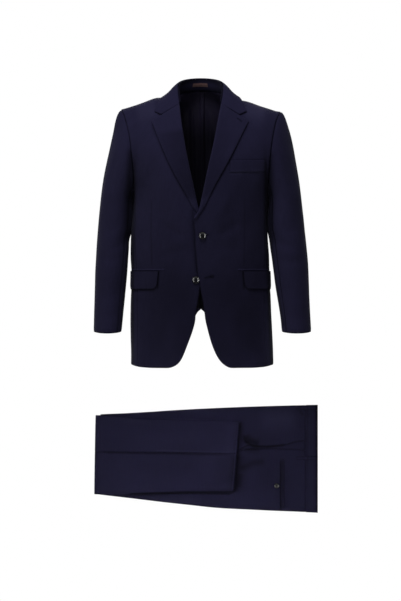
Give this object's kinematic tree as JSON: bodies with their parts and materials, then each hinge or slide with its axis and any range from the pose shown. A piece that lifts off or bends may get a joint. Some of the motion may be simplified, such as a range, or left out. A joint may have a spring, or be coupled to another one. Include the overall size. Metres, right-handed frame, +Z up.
{
  "type": "two-piece suit",
  "caption": "Single-breasted suit jacket, filled out and hollow, with notch lapels and flap pockets, above its trousers folded flat.",
  "frame": {"origin": "middle of the jacket's shoulder line, between its two side-neck points", "axes": "+Z up; the jacket's front and the trousers' shown side face -Y; the wearer's left is +X"},
  "size_m": [0.619, 0.2481, 1.2004],
  "materials": {
    "wool": "fine worsted weave, matt with a slight sheen",
    "lining": "smooth satin lining",
    "horn": "polished dark horn look",
    "label": "woven, bare"
  },
  "bodies": {
    "root": {"front_left": "wool", "front_right": "wool", "side_left": "wool", "side_right": "wool", "back_left": "wool", "back_right": "wool", "sleeve_upper_left": "wool", "sleeve_upper_right": "wool", "sleeve_under_left": "wool", "sleeve_under_right": "wool", "collar_stand": "wool", "collar_fall": "wool", "lapel_left": "wool", "lapel_right": "wool", "breast_welt": "wool", "flap_left": "wool", "flap_right": "wool", "trouser_layers": "wool", "hip_front": "wool", "hip_back": "wool", "pocket_facing": "wool", "waistband": "wool", "loop_side": "wool", "loop_front": "wool", "back_pocket_welt": "wool", "leg_front": "wool", "leg_back": "wool", "back_lining": "lining", "button_top": "horn", "button_lower": "horn", "back_pocket_button": "horn", "label": "label"}
  },
  "joints": []
}
